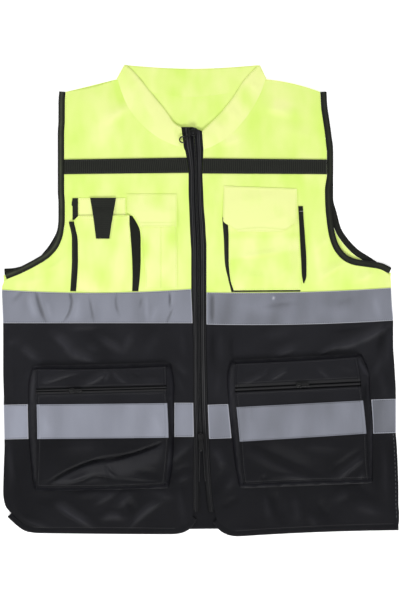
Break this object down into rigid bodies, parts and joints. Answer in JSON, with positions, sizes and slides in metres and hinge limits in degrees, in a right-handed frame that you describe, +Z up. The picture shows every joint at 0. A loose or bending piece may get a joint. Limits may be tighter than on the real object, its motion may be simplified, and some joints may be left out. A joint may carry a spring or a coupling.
{
  "type": "safety vest",
  "caption": "Sleeveless safety vest laid flat, zipped up: yellow chest, black lower part, reflective bands, stand collar, bellows hip pockets, flap and phone pockets.",
  "frame": {"origin": "on the surface the vest lies on, under the middle of its outline", "axes": "+Z up out of the front of the vest, +Y towards the collar, +X towards the wearer's left side"},
  "size_m": [0.5998, 0.7107, 0.0223],
  "materials": {
    "neon_cloth": "smooth warp knit",
    "black_cloth": "fine knit",
    "reflective_tape": "silver glass-bead tape",
    "webbing": "ribbed webbing",
    "binding": "slightly shiny bias binding",
    "zip_tape": "woven zip tape and coil",
    "zip_metal": "gloss black"
  },
  "bodies": {
    "vest": {"front_right_upper": "neon_cloth", "front_right_lower": "black_cloth", "upper_band_right": "reflective_tape", "chest_webbing_right": "webbing", "armhole_binding_front_right": "binding", "hem_binding_front_right": "black_cloth", "front_left_upper": "neon_cloth", "front_left_lower": "black_cloth", "upper_band_left": "reflective_tape", "chest_webbing_left": "webbing", "armhole_binding_front_left": "binding", "hem_binding_front_left": "black_cloth", "back_upper": "neon_cloth", "back_lower": "black_cloth", "upper_band_back": "reflective_tape", "lower_band_back": "reflective_tape", "armhole_binding_back_right": "binding", "armhole_binding_back_left": "binding", "hem_binding_back": "black_cloth", "collar": "neon_cloth", "zip_tape_right": "zip_tape", "zip_coil_right": "zip_tape", "zip_tape_left": "zip_tape", "zip_coil_left": "zip_tape", "zip_slider_top": "zip_metal", "zip_slider_lower": "zip_metal", "lower_band_right_inner": "reflective_tape", "lower_band_right_outer": "reflective_tape", "lower_band_left_inner": "reflective_tape", "lower_band_left_outer": "reflective_tape", "hip_pocket_right_top": "black_cloth", "hip_pocket_right_face": "black_cloth", "hip_pocket_right_zip": "zip_tape", "hip_pocket_right_tape": "reflective_tape", "hip_pocket_right_gusset": "black_cloth", "zip_slider_hip_right": "zip_metal", "hip_pocket_left_top": "black_cloth", "hip_pocket_left_face": "black_cloth", "hip_pocket_left_zip": "zip_tape", "hip_pocket_left_tape": "reflective_tape", "hip_pocket_left_gusset": "black_cloth", "zip_slider_hip_left": "zip_metal", "phone_pocket_back": "neon_cloth", "phone_pocket_strap": "webbing", "phone_pocket_loop": "webbing", "pen_pocket_body": "neon_cloth", "pen_pocket_flap": "neon_cloth", "pen_slot_strip": "binding", "phone_pocket_face": "neon_cloth", "phone_pocket_gusset_inner": "binding", "phone_pocket_gusset_outer": "binding", "chest_pocket_body": "neon_cloth", "chest_pocket_gusset": "binding", "chest_pocket_flap": "neon_cloth"},
    "pull_top": {"zip_pull_top": "zip_metal"},
    "pull_lower": {"zip_pull_lower": "zip_metal"},
    "pull_hip_right": {"zip_pull_hip_right": "zip_metal"},
    "pull_hip_left": {"zip_pull_hip_left": "zip_metal"}
  },
  "joints": [
    {"name": "pull_top_lift", "type": "hinge", "parent": "vest", "child": "pull_top", "pos_m": [-0.0099, 0.254, 0.00925], "axis": [-0.5817, 0.8134, 0], "range_deg": [0, 150]},
    {"name": "pull_lower_lift", "type": "hinge", "parent": "vest", "child": "pull_lower", "pos_m": [0.0006, -0.206, 0.00925], "axis": [-1, 0, 0], "range_deg": [0, 150]},
    {"name": "pull_hip_right_lift", "type": "hinge", "parent": "vest", "child": "pull_hip_right", "pos_m": [-0.193, -0.13512, 0.01987], "axis": [0.0255, -0.9997, 0], "range_deg": [0, 150]},
    {"name": "pull_hip_left_lift", "type": "hinge", "parent": "vest", "child": "pull_hip_left", "pos_m": [0.148, -0.12741, 0.02018], "axis": [0.0477, -0.9989, 0], "range_deg": [0, 150]}
  ]
}
